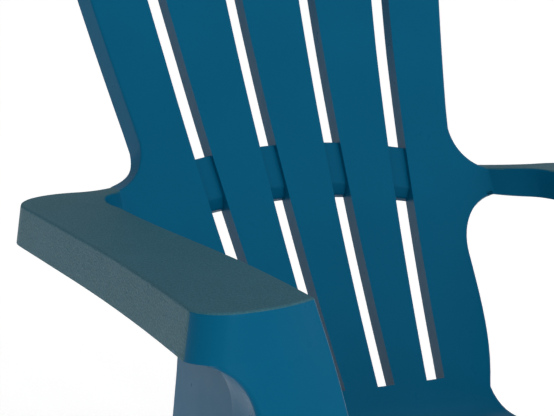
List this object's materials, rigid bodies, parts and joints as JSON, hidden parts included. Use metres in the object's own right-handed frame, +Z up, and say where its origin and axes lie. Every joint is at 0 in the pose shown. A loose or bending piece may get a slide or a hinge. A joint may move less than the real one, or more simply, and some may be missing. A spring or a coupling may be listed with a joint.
{
  "type": "adirondack chair",
  "caption": "Stackable moulded resin adirondack chair: fanned slotted back, broad flat arms, wide front legs and a slatted reclined seat.",
  "frame": {"origin": "on the floor, under the middle of the chair's bounding box", "axes": "+Z up, the chair faces -Y, +X to the right of someone facing it"},
  "size_m": [0.7778, 0.9124, 0.9467],
  "materials": {
    "smooth_resin": "teal blue, smooth semi-gloss moulded resin",
    "grained_resin": "teal blue, fine matte grain on the arm tops and skirts",
    "foot_pad": "dark, dull foot soles"
  },
  "bodies": {
    "root": {"arm_corner_left": "smooth_resin", "arm_corner_right": "smooth_resin", "arm_left": "grained_resin", "arm_right": "grained_resin", "back_crown": "smooth_resin", "back_slat_center": "smooth_resin", "back_slat_inner_left": "smooth_resin", "back_slat_inner_right": "smooth_resin", "back_slat_outer_left": "smooth_resin", "back_slat_outer_right": "smooth_resin", "back_waist_band": "smooth_resin", "front_foot_left": "foot_pad", "front_foot_right": "foot_pad", "front_leg_left": "smooth_resin", "front_leg_right": "smooth_resin", "rear_foot_left": "foot_pad", "rear_foot_right": "foot_pad", "rear_leg_left": "smooth_resin", "rear_leg_right": "smooth_resin", "rear_stretcher": "smooth_resin", "seat_apron": "smooth_resin", "seat_back_bend": "smooth_resin", "seat_nose": "smooth_resin", "seat_rail_left": "smooth_resin", "seat_rail_right": "smooth_resin", "seat_rib_left": "smooth_resin", "seat_rib_right": "smooth_resin", "seat_slat_1": "smooth_resin", "seat_slat_2": "smooth_resin", "seat_slat_3": "smooth_resin", "seat_slat_4": "smooth_resin", "seat_slat_5": "smooth_resin"}
  },
  "joints": []
}
